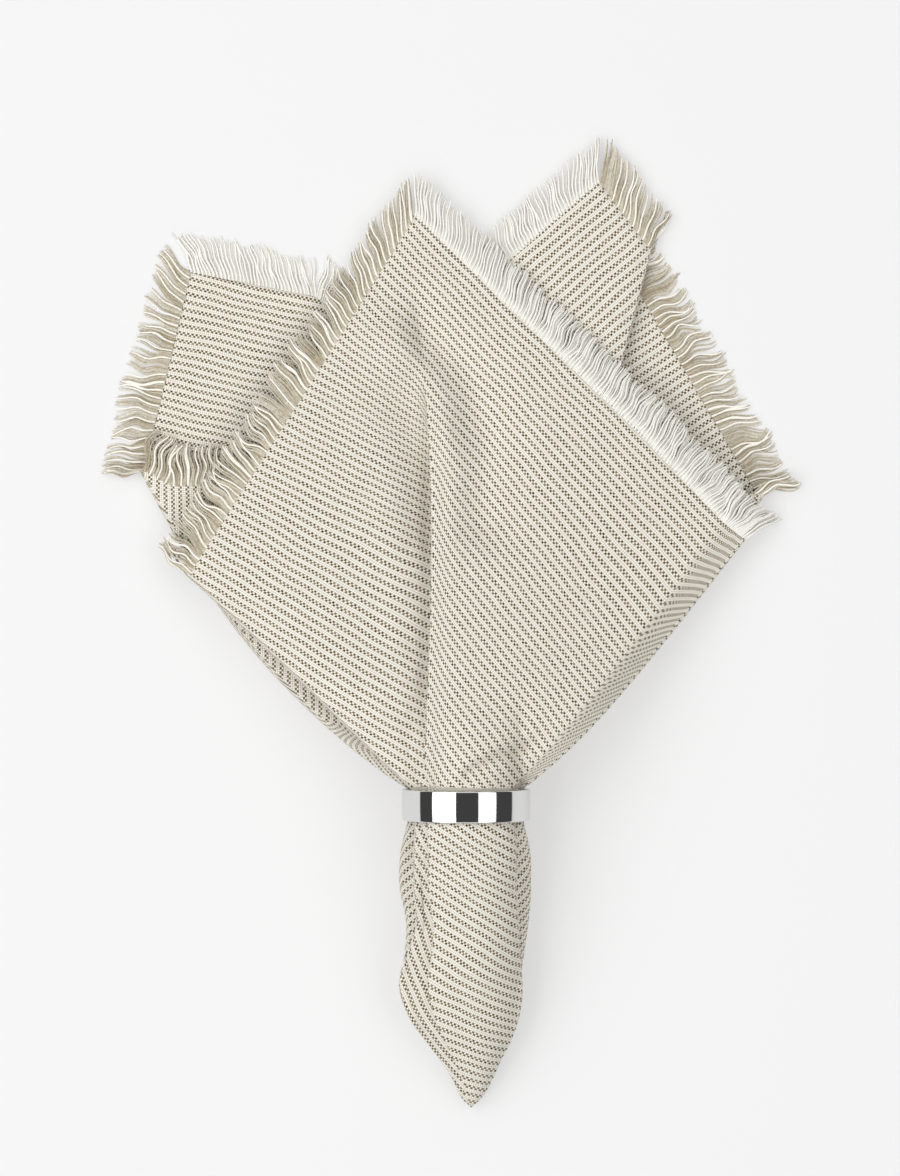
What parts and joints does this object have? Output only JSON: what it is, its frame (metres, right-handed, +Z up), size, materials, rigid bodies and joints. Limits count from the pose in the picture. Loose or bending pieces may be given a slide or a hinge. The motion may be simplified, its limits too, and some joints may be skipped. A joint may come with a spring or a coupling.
{
  "type": "cloth napkin in a ring",
  "caption": "Striped woven napkin with fringed edges, drawn by its middle through a polished flat ring so that its corners fan out on one side and a gathered tail lies on the other.",
  "frame": {"origin": "on the table under the middle of the ring, on the ring's lowest facet", "axes": "+Z up from the table, +Y along the ring's axis from the tail to the fan of corners, +X to the right seen from above"},
  "size_m": [0.2398, 0.3368, 0.045],
  "materials": {
    "woven_cloth": "soft matte weave, cream with taupe stripes",
    "cream_yarn": "loose matte yarn",
    "beige_yarn": "loose matte yarn",
    "polished_metal": "mirror polish"
  },
  "bodies": {
    "root": {"napkin_cloth": "woven_cloth", "fringe_front_left": "beige_yarn", "fringe_front_right": "cream_yarn", "fringe_left_flap_side": "beige_yarn", "fringe_left_flap_top": "cream_yarn", "fringe_left_triangle": "beige_yarn", "fringe_right_flap_top": "cream_yarn", "fringe_right_flap_side": "beige_yarn", "fringe_back_right": "beige_yarn", "napkin_ring": "polished_metal"}
  },
  "joints": []
}
